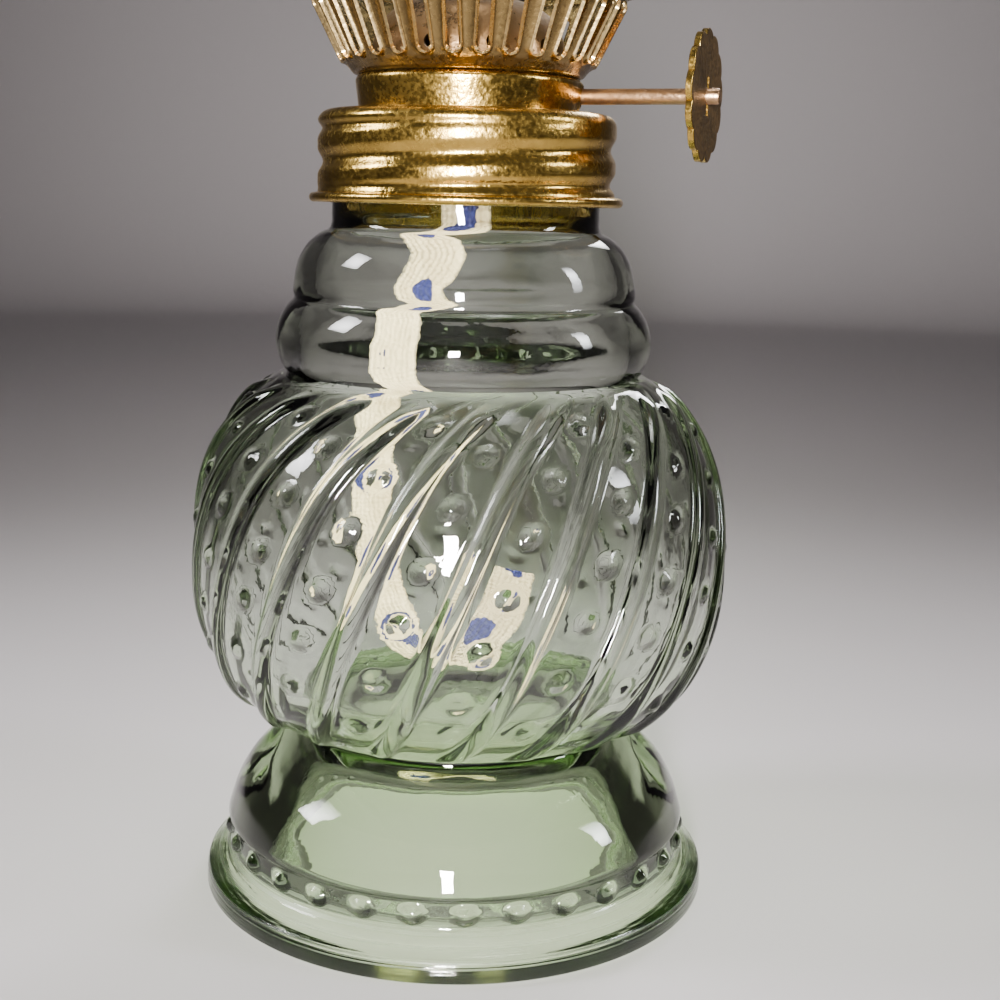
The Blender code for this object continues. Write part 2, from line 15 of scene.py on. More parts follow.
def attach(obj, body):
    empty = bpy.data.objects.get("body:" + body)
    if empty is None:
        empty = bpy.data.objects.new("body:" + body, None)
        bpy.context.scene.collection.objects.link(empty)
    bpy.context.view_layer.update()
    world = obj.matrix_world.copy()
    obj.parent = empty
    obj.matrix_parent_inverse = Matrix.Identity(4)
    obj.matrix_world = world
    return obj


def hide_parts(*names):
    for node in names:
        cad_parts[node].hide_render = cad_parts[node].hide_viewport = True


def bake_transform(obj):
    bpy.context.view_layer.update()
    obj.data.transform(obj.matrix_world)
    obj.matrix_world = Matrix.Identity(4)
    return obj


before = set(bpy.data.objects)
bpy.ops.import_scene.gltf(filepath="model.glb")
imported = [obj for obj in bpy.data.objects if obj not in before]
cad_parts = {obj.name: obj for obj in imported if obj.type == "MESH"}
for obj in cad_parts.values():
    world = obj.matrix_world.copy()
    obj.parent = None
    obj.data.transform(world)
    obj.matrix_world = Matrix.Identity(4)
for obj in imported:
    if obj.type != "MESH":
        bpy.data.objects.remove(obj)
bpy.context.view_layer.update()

MM = 0.001
TAU = 2 * math.pi

# The side of the lamp that the viewer faces, and the eye's place: sideways, back and up from the foot.
FRONT = math.radians(-69.2)
EYE_PLACE, EYE_DOWN, EYE_LEAN = (4.76, -180.0, 83.6), 11.3, 1.3
LENS, SENSOR = 54, 36

# Bulb: swirling ribs with a column of dots between each two.
RIBS = 20
RIB_START = math.radians(-69.6)
RIB_HEIGHT, RIB_HALF = 0.7, 1.15
RIB_LOW_Z, RIB_HIGH_Z, RIB_FADE = 22.6, 62.6, 1.6
BULB_MIDDLE_Z, TWIST_SPAN = 41.0, 21.6
TWIST_EVEN, TWIST_ENDS = math.radians(16.4), math.radians(12.7)
DOT_RADIUS, DOT_HEIGHT = 1.1, 0.55
DOT_ROWS = (
    (60.4, 55.0, 49.5, 43.5, 37.4, 32.0),
    (57.6, 52.4, 46.6, 40.4, 34.2, 28.0),
)

# Foot: a flange with a slope on top, and a band of beads above it.
FLANGE_SLOPE_Z, FLANGE_TOP_Z = 2.4, 4.8
BEADS = 30
BEAD_START = math.radians(-65.2)
BEAD_RADIUS, BEAD_HEIGHT, BEAD_Z, BAND_R = 1.15, 0.85, 6.7, 28.0

# Neck and cap thread, right-handed. The bead on the glass runs midway between the cap's grooves.
NECK_R, NECK_BORE_R, LIP_Z = 15.75, 13.4, 91.6
PITCH, GROOVE_FRONT_Z, THREAD_LOW_Z = 4.0, 88.5, 84.0
NECK_BEAD_HEIGHT, NECK_BEAD_HALF = 0.9, 0.95
GROOVE_DEPTH, GROOVE_HALF = 0.62, 1.6

# Burner, wick drive and chimney.
SHEET = 0.4
CAP_R, CAP_FLANGE_R, CAP_LOW_Z, CAP_TOP_Z, CAP_HOLE_R = 17.4, 18.4, 82.9, 93.4, 11.2
DRUM_R, DRUM_FOOT_R, DRUM_LOW_Z, DRUM_TOP_Z = 13.05, 12.65, 93.45, 97.4
DRUM_LIP, DRUM_LIP_REACH = 0.35, 1.4
SLOTS, SLOT_START = 30, FRONT - math.radians(5)
SLOT_LOW_Z, SLOT_HIGH_Z, SLOT_HALF = 99.1, 105.7, 0.70
SLOT_STEP = TAU / SLOTS
# The slots' lips carry a painted highlight: a lighter brass on the faces near each slot's edge.
SLOT_LIP, SLOT_LIP_WIDTH, LIP_HIGHLIGHT_HALF = 0.42, 0.21, 0.19
SLOT_PULL, SLOT_MARGIN = 0.26, 0.6
LEDGE_Z, CROWN_R, CROWN_LOW_Z = 107.4, 20.6, 109.4
PRONG_EVERY, NOTCH_LOW_Z, NOTCH_HALF, NOTCH_PULL = 5, 109.7, 1.12, 0.32
CORNER_DROP, CORNER_REACH = 0.45, 0.55
BOWL_SHEET = 0.36
DEFLECTOR_LOW_Z, DEFLECTOR_SHEET = 98.6, 0.36
SLIT_LENGTH, SLIT_WIDTH = 9.6, 4.6
DRAUGHT_HOLES, DRAUGHT_HOLE_R, DRAUGHT_HOLE_RISE = 10, 0.8, 1.9
TUBE_LOW_Z, TUBE_TOP_Z, TUBE_WIDTH, TUBE_DEPTH, TUBE_WALL = 88.3, 104.7, 7.6, 2.95, 0.38
SHAFT_Y, SHAFT_Z, SHAFT_R = 3.6, 95.5, 0.9
SHAFT_HOLE_R = 1.22
KNOB_X, KNOB_R, KNOB_LOBES, KNOB_THICK = 26.7, 7.4, 13, 0.8
KNOB_LOBE_HEIGHT, KNOB_LOBE_COLUMNS, KNOB_SLOT_WIDTH, KNOB_SLOT_LENGTH = 0.6, 16, 0.8, 4.2
WICK_WIDTH, WICK_THICK, WICK_BEND_Z = 6.3, 1.45, 82.4
WHEEL_X, WINDOW_HALF, WINDOW_RISE = 1.7, 0.65, 2.0
CORD_PITCH, THREAD_PITCH = 0.72, 0.55
STITCH_EVERY, STITCH_SHIFT, STITCH_REACH, STITCH_HALF_WIDTH = 11.0, 0.364, 2.5, 1.5
CHIMNEY_LOW_Z, CHIMNEY_TOP_Z, CHIMNEY_WALL = 108.1, 196.4, 1.3

# Columns of the font's finest and plainest rings, and a height or distance past everything.
FINE, COARSE = 360, 180
FAR = 999.0


# ---------------------------------------------------------------- outlines


def catmull(points, spacing):
    """A smooth curve through the points, with a point about every spacing."""
    knots = [np.array(p, float) for p in points]
    knots = [2 * knots[0] - knots[1], *knots, 2 * knots[-1] - knots[-2]]
    curve = []
    for a, b, c, d in zip(knots, knots[1:], knots[2:], knots[3:]):
        steps = max(1, round(float(np.linalg.norm(c - b)) / spacing))
        for t in np.arange(steps) / steps:
            bend = (2 * a - 5 * b + 4 * c - d) * t**2 + (3 * b - a - 3 * c + d) * t**3
            curve.append(0.5 * (2 * b + (c - a) * t + bend))
    return curve + [knots[-2]]


def straight(start, end, spacing):
    """Evenly spaced points from start to end, about a spacing apart."""
    start, end = np.array(start, float), np.array(end, float)
    steps = max(1, round(float(np.linalg.norm(end - start)) / spacing))
    return [start + (end - start) * i / steps for i in range(steps + 1)]


def arc(centre, radius, start, end, steps):
    """Points of an arc in the (radius, height) plane, angles in degrees."""
    turns = [math.radians(start + (end - start) * i / steps) for i in range(steps + 1)]
    return [np.array((centre[0] + radius * math.cos(t), centre[1] + radius * math.sin(t))) for t in turns]


def chain(*stretches):
    """Stretches of an outline joined into one, without repeated points."""
    line = []
    for stretch in stretches:
        for point in stretch:
            if not line or np.linalg.norm(np.array(point) - line[-1]) > 0.01:
                line.append(np.array(point, float))
    return line


def around_sheet(line, thickness=SHEET):
    """The closed outline of sheet metal whose middle follows the line."""
    line = np.array(line)
    along = np.gradient(line, axis=0)
    along /= np.linalg.norm(along, axis=1)[:, None]
    side = np.stack([along[:, 1], -along[:, 0]], axis=1) * thickness / 2
    return list(line + side) + list((line - side)[::-1])


# ---------------------------------------------------------------- meshes


def circle(radius, angles, height):
    """One row of points: radius and height are numbers, or one value for each angle."""
    radius = np.broadcast_to(radius, angles.shape)
    height = np.broadcast_to(height, angles.shape)
    return np.stack([radius * np.cos(angles), radius * np.sin(angles), height], axis=1)


def even_angles(count):
    return np.arange(count) * TAU / count


def quads(low, high):
    """Faces between two rows of point numbers that close on themselves."""
    return list(zip(low, np.roll(low, -1), np.roll(high, -1), high))


class Skin:
    """Rings of points round Z, sewn one to the next. Two neighbouring rings may differ in their number."""

    def __init__(self):
        self.verts = []
        self.faces = []
        self.rings = []

    def add(self, rows):
        for points in rows:
            ring = np.arange(len(self.verts), len(self.verts) + len(points))
            self.verts += list(points)
            if self.rings and len(self.rings[-1]) == len(ring):
                self.faces += quads(self.rings[-1], ring)
            elif self.rings:
                self.sew(self.rings[-1], ring)
            self.rings.append(ring)
        return self

    def sew(self, low, high):
        """Joins two rings of different numbers with triangles."""
        low, high = self.in_order(low), self.in_order(high)
        i = j = 0
        while i < len(low) or j < len(high):
            a, b = low[i % len(low)], high[j % len(high)]
            if (i + 1) * len(high) <= (j + 1) * len(low):
                i += 1
                self.faces.append((a, low[i % len(low)], b))
            else:
                j += 1
                self.faces.append((a, high[j % len(high)], b))

    def in_order(self, ring):
        """A ring's point numbers in the order of their angles."""
        angles = [(math.atan2(self.verts[k][1], self.verts[k][0]) + 0.001) % TAU for k in ring]
        return [k for _, k in sorted(zip(angles, ring))]

    def close_ends(self):
        self.faces += [tuple(self.rings[0]), tuple(self.rings[-1])]
        return self


def new_mesh(name, verts, faces):
    """A mesh from points in millimetres."""
    mesh = bpy.data.meshes.new(name)
    mesh.from_pydata((np.array(verts) * MM).tolist(), [], [[int(k) for k in face] for face in faces])
    return mesh


def piece(name, verts, faces, body, replaced, finish, sharp=40):
    """Adds a mesh, given in millimetres, as one piece of the lamp."""
    mesh = new_mesh(name, verts, faces)
    bm = bmesh.new()
    bm.from_mesh(mesh)
    bmesh.ops.remove_doubles(bm, verts=bm.verts, dist=1e-7)
    bmesh.ops.recalc_face_normals(bm, faces=bm.faces)
    bm.to_mesh(mesh)
    bm.free()
    mesh.shade_smooth()
    mesh.set_sharp_from_angle(angle=math.radians(sharp))
    obj = bpy.data.objects.new(name, mesh)
    bpy.context.scene.collection.objects.link(obj)
    mesh.materials.append(finish)
    if body:
        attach(obj, body)
    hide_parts(*replaced)
    return obj


def turned(line, columns, shaped=None):
    """A closed outline turned about Z. shaped(radius, angles, height) may move a row's radius."""
    angles = even_angles(columns)
    verts, faces = [], []
    for k, (radius, height) in enumerate(line):
        if shaped:
            radius = shaped(radius, angles, height)
        verts += list(circle(radius, angles, height))
        low = np.arange(columns) + k * columns
        high = np.arange(columns) + (k + 1) % len(line) * columns
        faces += quads(low, high)
    return verts, faces


# ---------------------------------------------------------------- the glass font


def twist(z):
    """How far the ribs have turned at a height, in radians."""
    u = np.clip((z - BULB_MIDDLE_Z) / TWIST_SPAN, -1, 1)
    return TWIST_EVEN * u + TWIST_ENDS * u**5


def rib_columns():
    """Column angles of one rib's share of the bulb, closer together on the rib and on the dots."""
    share = TAU / RIBS
    on_rib = [0.0, 0.04, 0.075, 0.098, 0.112, 0.122, 0.150]
    half = np.concatenate([on_rib, [0.22, 0.29], np.linspace(0.355, 0.5, 4)[:-1]])
    steps = np.concatenate([half, 1 - half[1:][::-1], [0.5]])
    return np.sort(steps) * share


def bulb_rows(line):
    """The bulb's rows: turned so that the columns follow the ribs, then raised at ribs and dots."""
    share = rib_columns()
    base = (RIB_START + np.arange(RIBS)[:, None] * TAU / RIBS + share[None, :]).ravel()
    line = np.array(line)
    radius, z = line[:, 0], line[:, 1]
    run = np.concatenate([[0], np.cumsum(np.linalg.norm(np.diff(line, axis=0), axis=1))])
    turn = twist(z)
    lean = np.cos(np.arctan(radius * np.gradient(turn, run)))
    outward = np.stack([np.gradient(z, run), -np.gradient(radius, run)], axis=1)
    outward /= np.linalg.norm(outward, axis=1)[:, None]

    off_rib = (base - RIB_START + TAU / RIBS / 2) % (TAU / RIBS) - TAU / RIBS / 2
    across = np.abs(off_rib[None, :] * (radius * lean)[:, None]) / RIB_HALF
    ends = np.clip((z - RIB_LOW_Z) / RIB_FADE, 0, 1) * np.clip((RIB_HIGH_Z - z) / RIB_FADE, 0, 1)
    rise = RIB_HEIGHT * np.clip(1 - across**2, 0, 1) ** 0.55 * ends[:, None]

    angles = base[None, :] + turn[:, None]
    for column in range(RIBS):
        middle = RIB_START + (column + 0.5) * TAU / RIBS
        for dot_z in DOT_ROWS[column % 2]:
            k = int(np.argmin(np.abs(z - dot_z)))
            gap = (angles - middle - twist(dot_z) + math.pi) % TAU - math.pi
            away = np.hypot(gap * radius[k], (run - run[k])[:, None]) / DOT_RADIUS
            rise = np.maximum(rise, DOT_HEIGHT * np.sqrt(np.clip(1 - away**2, 0, 1)))
    rows = []
    for k in range(len(line)):
        rows.append(circle(radius[k] + rise[k] * outward[k, 0], angles[k], z[k] + rise[k] * outward[k, 1]))
    return rows


def beaded_rows(line):
    """The foot's band with its row of beads."""
    angles = even_angles(FINE)
    step = TAU / BEADS
    off = (angles - BEAD_START + step / 2) % step - step / 2
    rows = []
    for radius, z in line:
        away = np.hypot(off * BAND_R, z - BEAD_Z) / BEAD_RADIUS
        rows.append(circle(radius + BEAD_HEIGHT * np.sqrt(np.clip(1 - away**2, 0, 1)), angles, z))
    return rows


def plain_rows(line, columns):
    return [circle(radius, even_angles(columns), z) for radius, z in line]


def groove_distance(angle, z):
    """Height above the nearest turn of the cap's thread groove."""
    start = GROOVE_FRONT_Z + PITCH * (angle - FRONT) / TAU
    return (z - start + PITCH / 2) % PITCH - PITCH / 2


def rounded(distance, half):
    """A rounded ridge: 1 on its crest and 0 past its half width."""
    return np.where(np.abs(distance) < half, 0.5 + 0.5 * np.cos(math.pi * distance / half), 0.0)


def thread_rows(line, columns):
    """The neck with its raised thread."""
    angles = even_angles(columns)
    rows = []
    for radius, z in line:
        ends = np.clip(z - THREAD_LOW_Z, 0, 1) * np.clip((LIP_Z - z) / 1.2, 0, 1)
        crest = np.abs(groove_distance(angles, z)) - PITCH / 2
        rows.append(circle(radius + NECK_BEAD_HEIGHT * rounded(crest, NECK_BEAD_HALF) * ends, angles, z))
    return rows


def font(finish):
    """The whole glass, from the hollow under the foot round the outside to the floor of the bulb."""
    under = chain(
        catmull([(1.5, 15.9), (9.0, 15.7), (15.0, 14.0), (18.6, 10.8), (21.2, 6.6), (26.0, 1.1)], 1.0),
        arc((27.3, 1.2), 1.2, 225, 270, 3),
    )
    flange = chain(
        arc((30.6, 0.6), 0.6, -90, 0, 4), straight((31.2, 0.6), (31.1, 2.2), 0.8),
        catmull([(31.1, 2.2), (30.9, 2.8), (30.3, 3.2), (29.3, 3.9), (28.4, 4.6), (28.0, 5.15)], 0.45),
    )
    band = straight((BAND_R, 5.3), (BAND_R, 8.2), 0.3)
    dome = chain(
        catmull([(28.05, 8.35), (28.35, 8.65), (28.45, 9.0), (28.25, 9.6), (27.95, 10.6), (27.2, 12.6),
                 (25.7, 15.0), (23.6, 17.1), (21.2, 18.9), (19.8, 20.2), (19.4, 20.9)], 0.6),
    )
    bulb = catmull([(19.6, 21.4), (21.4, 21.9), (24.5, 23.2), (28.4, 27.0), (31.1, 33.5), (31.9, 41.0),
                    (31.4, 48.0), (29.6, 54.2), (26.4, 59.4), (22.6, 62.7), (21.5, 63.2)], 0.58)
    ring_low = catmull([(21.0, 63.4), (21.45, 63.9), (22.0, 65.2), (22.35, 67.2), (21.9, 69.4), (20.9, 71.2),
                        (20.3, 71.75), (20.1, 72.1)], 0.5)
    ring_high = catmull([(20.1, 72.1), (20.25, 72.6), (20.2, 73.8), (19.7, 76.2), (18.6, 78.2), (17.1, 79.5),
                         (16.2, 79.9), (15.9, 80.2), (NECK_R, 80.8)], 0.5)
    neck = straight((NECK_R, 81.2), (NECK_R, LIP_Z - 0.6), 0.35)
    lip = arc((NECK_R - 1.15, LIP_Z - 1.15), 1.15, 15, 180, 10)
    inside = catmull(
        [(NECK_BORE_R + 0.05, 89.5), (NECK_BORE_R, 84.0), (NECK_BORE_R + 0.5, 80.6), (16.2, 78.0),
         (17.6, 75.4), (18.0, 72.6), (19.3, 70.0), (19.9, 67.2), (19.5, 64.4), (20.2, 61.4), (24.0, 58.0),
         (26.9, 53.2), (28.7, 47.6), (29.2, 41.0), (28.3, 34.2), (25.6, 28.6), (20.4, 25.0), (12.0, 23.2),
         (1.5, 22.6)], 1.4,
    )
    skin = Skin()
    skin.add(plain_rows(under, COARSE))
    skin.add(plain_rows(flange, FINE))
    skin.add(beaded_rows(band))
    skin.add(plain_rows(dome, FINE))
    skin.rings[-1] = np.array(skin.in_order(skin.rings[-1]))
    rows = bulb_rows(bulb)
    order = np.argsort((np.arctan2(rows[0][:, 1], rows[0][:, 0]) + 0.001) % TAU)
    skin.add([row[order] for row in rows])
    skin.add(plain_rows(ring_low + ring_high[1:], COARSE))
    skin.add(thread_rows(neck, COARSE))
    skin.add(plain_rows(lip + inside, COARSE))
    skin.close_ends()
    return piece("font_skin", skin.verts, skin.faces, "font", ["font_glass"], finish, 60)


# ---------------------------------------------------------------- brass sheet parts


def grooved(radius, angles, z):
    """Presses the thread groove into the cap's skirt."""
    if radius < CAP_R - 0.8 or not CAP_LOW_Z + 1.4 < z < CAP_TOP_Z - 1.2:
        return radius
    ends = min(1.0, (z - CAP_LOW_Z - 1.4) / 0.9) * min(1.0, (CAP_TOP_Z - 1.2 - z) / 0.9)
    return radius - GROOVE_DEPTH * rounded(groove_distance(angles, z), GROOVE_HALF) * ends


def screw_cap(finish):
    """The pressed cap, with its rolled rim and thread groove."""
    half = SHEET / 2
    rim = arc((CAP_FLANGE_R - 0.55, CAP_LOW_Z + 0.62), 0.35, -110, 110, 10)
    skirt = straight((CAP_R - half, CAP_LOW_Z + 1.3), (CAP_R - half, CAP_TOP_Z - 1.6), 0.22)
    crown = arc((CAP_R - 1.5, CAP_TOP_Z - 1.5), 1.5 - half, 5, 90, 8)
    top = straight((CAP_R - 1.5, CAP_TOP_Z - half), (CAP_HOLE_R, CAP_TOP_Z - half), 0.9)
    bend = catmull([rim[-1], (CAP_R - half + 0.05, CAP_LOW_Z + 1.1), skirt[0]], 0.2)
    line = chain(rim, bend, skirt, crown, top)
    verts, faces = turned(around_sheet(line), 240, grooved)
    return piece("cap_shell", verts, faces, "burner", ["screw_cap"], finish)


def raised_at_hole(radius, angles, z):
    """Turns the drum's wall outwards round the shaft's hole."""
    across = np.where(np.cos(angles) > 0, radius * np.sin(angles) - SHAFT_Y, FAR)
    away = np.hypot(across, z - SHAFT_Z)
    return radius + DRUM_LIP * np.clip(1 - (away - SHAFT_HOLE_R) / DRUM_LIP_REACH, 0, 1) ** 2


def burner_drum(finish):
    """The upright drum above the cap, with the shaft's hole."""
    half = SHEET / 2
    line = chain(
        straight((DRUM_FOOT_R - half, DRUM_LOW_Z), (DRUM_R - half, DRUM_TOP_Z - 0.7), 0.2),
        arc((DRUM_R - 0.7, DRUM_TOP_Z - 0.7), 0.5, 0, 90, 5),
        [(DRUM_R - 1.3, DRUM_TOP_Z - half)],
    )
    verts, faces = turned(around_sheet(line), 320, raised_at_hole)
    drum = piece("drum_shell", verts, faces, "burner", ["burner_drum"], finish)
    ring = even_angles(32)
    side, up = SHAFT_Y + SHAFT_HOLE_R * np.cos(ring), SHAFT_Z + SHAFT_HOLE_R * np.sin(ring)
    cut_out(drum, [rod(*[np.column_stack([np.full(32, x), side, up]) for x in (8.0, 18.0)])])
    return drum


def bowl_wall():
    """The bowl's wall from its foot up to the ledge, as (radius, height)."""
    return chain(
        straight((11.9, DRUM_TOP_Z + 0.22), (12.9, DRUM_TOP_Z + 0.22), 0.3),
        catmull([(12.9, DRUM_TOP_Z + 0.22), (13.25, 97.75), (13.55, 98.15), (13.95, 98.6), (14.3, 99.1),
                 (14.85, 100.1), (15.6, 101.6), (16.5, 103.4), (17.2, 104.8), (17.65, 105.8), (18.0, 106.6),
                 (18.35, 107.15), (18.9, 107.35)], 0.3),
    )


def stadium_field(x, z, low, high, half):
    """Distance outside a stadium slot from low to high in z, and the direction away from its middle line."""
    dz = z - np.clip(z, low + half, high - half)
    away = np.hypot(x, dz)
    safe = np.maximum(away, 1e-6)
    return away - half, x / safe, dz / safe


def slot_columns():
    """One slot's columns, by distance from the slot's middle. FAR stands for halfway from the slot before.

    The third column stands there too. It belongs at -SLOT_HALF - 0.3, and where it is, the sheet lies folded
    over itself between the first column and the fourth.
    """
    edge = [0.4, SLOT_HALF - 0.05, SLOT_HALF]
    lip = [SLOT_HALF + 0.08, SLOT_HALF + 0.18, SLOT_HALF + 0.3]
    right = np.array(edge + lip + [1.2])
    across = np.concatenate([[FAR], -right[::-1], [0.0], right])
    across[2] = FAR
    return across


def sideways(across, radius):
    """How far each of the bowl's columns stands from its slot's middle at a radius."""
    return np.tile(np.where(across == FAR, -SLOT_STEP / 2 * radius, across), SLOTS)


def wall_rows(across, middle):
    """Rows of the bowl's wall, pulled to the slots and raised round them, with their slot distances."""
    wall = chain(bowl_wall(), straight((18.9, 107.37), (20.1, LEDGE_Z), 0.4),
                 catmull([(20.1, LEDGE_Z), (20.38, 107.55), (20.5, 108.0), (20.55, CROWN_LOW_Z)], 0.35))
    line = []
    for low, high in zip(wall, wall[1:]):
        parts = 2 if SLOT_LOW_Z - 0.8 < low[1] < SLOT_HIGH_Z + 0.6 else 1
        line += [low + (high - low) * i / parts for i in range(parts)]
    line = np.array(line + [wall[-1]])
    along = np.gradient(line, axis=0)
    along /= np.linalg.norm(along, axis=1)[:, None]

    rows, fields = [], []
    for (radius, z), (along_r, along_z) in zip(line, along):
        x = sideways(across, radius)
        field, away_x, away_z = stadium_field(x, np.full(len(x), z), SLOT_LOW_Z, SLOT_HIGH_Z, SLOT_HALF)
        if not SLOT_LOW_Z - SLOT_MARGIN < z < SLOT_HIGH_Z + SLOT_MARGIN:
            field = np.full(len(x), FAR)
        push = np.where((field < 0) & (field > -SLOT_PULL), -field, 0.0)
        x = x + away_x * push
        shift = away_z * push
        lift = SLOT_LIP * np.exp(-((np.maximum(field, 0) / SLOT_LIP_WIDTH) ** 2))
        place = radius + along_r * shift + along_z * lift
        rows.append(circle(place, middle + x / radius, z + along_z * shift - along_r * lift))
        fields.append(field)
    return rows, fields


def crown_rows(across, middle):
    """Rows of the crown: tabs, each fifth a longer spring prong, with their distances from the notches."""
    off = sideways(across, CROWN_R)
    past = np.where(off > 0, 0.25, -0.75)
    tab_number = np.floor((middle - SLOT_START) / SLOT_STEP + 0.5 + past + 1e-6)
    prong = tab_number % PRONG_EVERY == 0
    tab_line = np.array(catmull([(20.55, CROWN_LOW_Z), (CROWN_R, 110.2), (20.85, 111.6), (21.3, 113.1)], 0.3))
    prong_line = np.array(catmull([(20.55, CROWN_LOW_Z), (20.5, 111.0), (20.15, 113.4), (19.95, 114.8),
                                   (20.2, 116.1), (20.6, 117.0)], 0.3))
    count = len(prong_line)
    steps = np.linspace(0, len(tab_line) - 1, count)
    tab_line = np.stack([np.interp(steps, range(len(tab_line)), tab_line[:, k]) for k in (0, 1)], axis=1)
    rows, fields = [], []
    for k in range(1, count):
        radius = np.where(prong, prong_line[k, 0], tab_line[k, 0])
        z = np.where(prong, prong_line[k, 1], tab_line[k, 1])
        field, away_x, away_z = stadium_field(off, z, NOTCH_LOW_Z, FAR, NOTCH_HALF)
        near = (field < 0) & (field > -NOTCH_PULL)
        x = off + np.where(near, -field * away_x, 0.0)
        z = z + np.where(near, -field * away_z, 0.0)
        corner = np.clip(1 - (np.abs(x) - NOTCH_HALF) / CORNER_REACH, 0, 1) ** 2 * (k / (count - 1)) ** 6
        rows.append(circle(radius, middle + x / CROWN_R, z - CORNER_DROP * corner))
        fields.append(field)
    return rows, fields


def gallery_bowl(finish, lip_highlight_finish):
    """The bowl, its slots with raised lips painted as a highlight, the ledge, and the crown of tabs and
    spring prongs.
    """
    across = slot_columns()
    middle = SLOT_START + np.repeat(np.arange(SLOTS), len(across)) * SLOT_STEP
    low_rows, low_fields = wall_rows(across, middle)
    high_rows, high_fields = crown_rows(across, middle)
    rows = low_rows + high_rows
    inside = np.array(low_fields + high_fields) < -1e-6
    columns = len(middle)
    faces = []
    for k in range(len(rows) - 1):
        for i in range(columns):
            n = (i + 1) % columns
            if not (inside[k, i] and inside[k, n] and inside[k + 1, i] and inside[k + 1, n]):
                faces.append((k * columns + i, k * columns + n, (k + 1) * columns + n, (k + 1) * columns + i))
    bowl = piece("bowl_shell", np.concatenate(rows), faces, "burner", ["gallery_basket"], finish)
    bowl.data.materials.append(lip_highlight_finish)
    bowl.data.polygons.foreach_set("material_index", lip_numbers(bowl.data))
    thicken(bowl, BOWL_SHEET)
    return bowl


def lip_numbers(mesh):
    """1 for each face on the lip of a slot, which gets the painted highlight, and 0 for the others."""
    x, y, z = np.array([face.center for face in mesh.polygons]).T / MM
    off = (np.arctan2(y, x) - SLOT_START + SLOT_STEP / 2) % SLOT_STEP - SLOT_STEP / 2
    field = stadium_field(off * np.hypot(x, y), z, SLOT_LOW_Z, SLOT_HIGH_Z, SLOT_HALF)[0]
    return (np.abs(field) < LIP_HIGHLIGHT_HALF).astype(int)


def thicken(obj, thickness):
    """Gives an open sheet its thickness, half to each side."""
    bm = bmesh.new()
    bm.from_mesh(obj.data)
    loose = [v for v in bm.verts if not v.link_faces]
    bmesh.ops.delete(bm, geom=loose, context="VERTS")
    bm.normal_update()
    for vert in bm.verts:
        vert.co -= vert.normal * thickness / 2 * MM
    bmesh.ops.solidify(bm, geom=bm.faces[:], thickness=-thickness * MM)
    bmesh.ops.recalc_face_normals(bm, faces=bm.faces)
    bm.to_mesh(obj.data)
    bm.free()
    obj.data.shade_smooth()
    obj.data.set_sharp_from_angle(angle=math.radians(50))


def cut_out(obj, cutters):
    """Takes closed meshes, given as (verts, faces) in millimetres, out of a piece."""
    tools = []
    for verts, faces in cutters:
        mesh = new_mesh("tool", verts, faces)
        bm = bmesh.new()
        bm.from_mesh(mesh)
        bmesh.ops.recalc_face_normals(bm, faces=bm.faces)
        bm.to_mesh(mesh)
        bm.free()
        tool = bpy.data.objects.new("tool", mesh)
        bpy.context.scene.collection.objects.link(tool)
        change = obj.modifiers.new("cut", "BOOLEAN")
        change.object = tool
        tools.append(tool)
    bpy.context.view_layer.update()
    result = bpy.data.meshes.new_from_object(obj.evaluated_get(bpy.context.evaluated_depsgraph_get()))
    obj.modifiers.clear()
    obj.data = result
    for tool in tools:
        bpy.data.objects.remove(tool)
    obj.data.set_sharp_from_angle(angle=math.radians(40))


def stadium_ring(width, depth, count=48):
    """Points of a flat oval with round ends, its width along X."""
    points = []
    for i in range(count):
        t = TAU * (i + 0.5) / count
        side = 1 if math.cos(t) > 0 else -1
        points.append((side * (width - depth) / 2 + depth / 2 * math.cos(t), depth / 2 * math.sin(t)))
    return np.array(points)


def rod(points_low, points_high):
    """A closed prism between two equal rings of points."""
    verts = np.concatenate([points_low, points_high])
    count = len(points_low)
    low, high = np.arange(count), np.arange(count) + count
    return verts, quads(low, high) + [tuple(low), tuple(high)]


def flame_deflector(finish):
    """The dome over the wick's tube, with the flame's slit and a ring of draught holes."""
    base = DEFLECTOR_LOW_Z
    line = chain(
        straight((12.25, base), (11.6, base), 0.2),
        catmull([(11.6, base), (11.25, base + 0.25), (11.1, base + 0.9), (10.7, base + 3.0),
                 (9.7, base + 4.9), (8.0, base + 6.3), (4.6, base + 7.4), (0.2, base + 7.75)], 0.35),
    )
    verts, faces = turned(around_sheet(line, DEFLECTOR_SHEET), 128)
    dome = piece("deflector_shell", verts, faces, "burner", ["flame_deflector"], finish)
    slit = stadium_ring(SLIT_LENGTH, SLIT_WIDTH)
    tools = [rod(*[np.column_stack([slit, np.full(len(slit), base + rise)]) for rise in (3, 12)])]
    start = np.array((0, 0, base + DRAUGHT_HOLE_RISE))
    upwards = np.array((0, 0, 1))
    for i in range(DRAUGHT_HOLES):
        angle = TAU * (i + 0.5) / DRAUGHT_HOLES
        across = np.array((-math.sin(angle), math.cos(angle), 0))
        out = np.array((math.cos(angle), math.sin(angle), 0))
        hole = [DRAUGHT_HOLE_R * (math.cos(t) * across + math.sin(t) * upwards) for t in even_angles(24)]
        tools.append(rod(*[np.array(hole) + start + out * reach for reach in (9.5, 13.0)]))
    cut_out(dome, tools)
    return dome


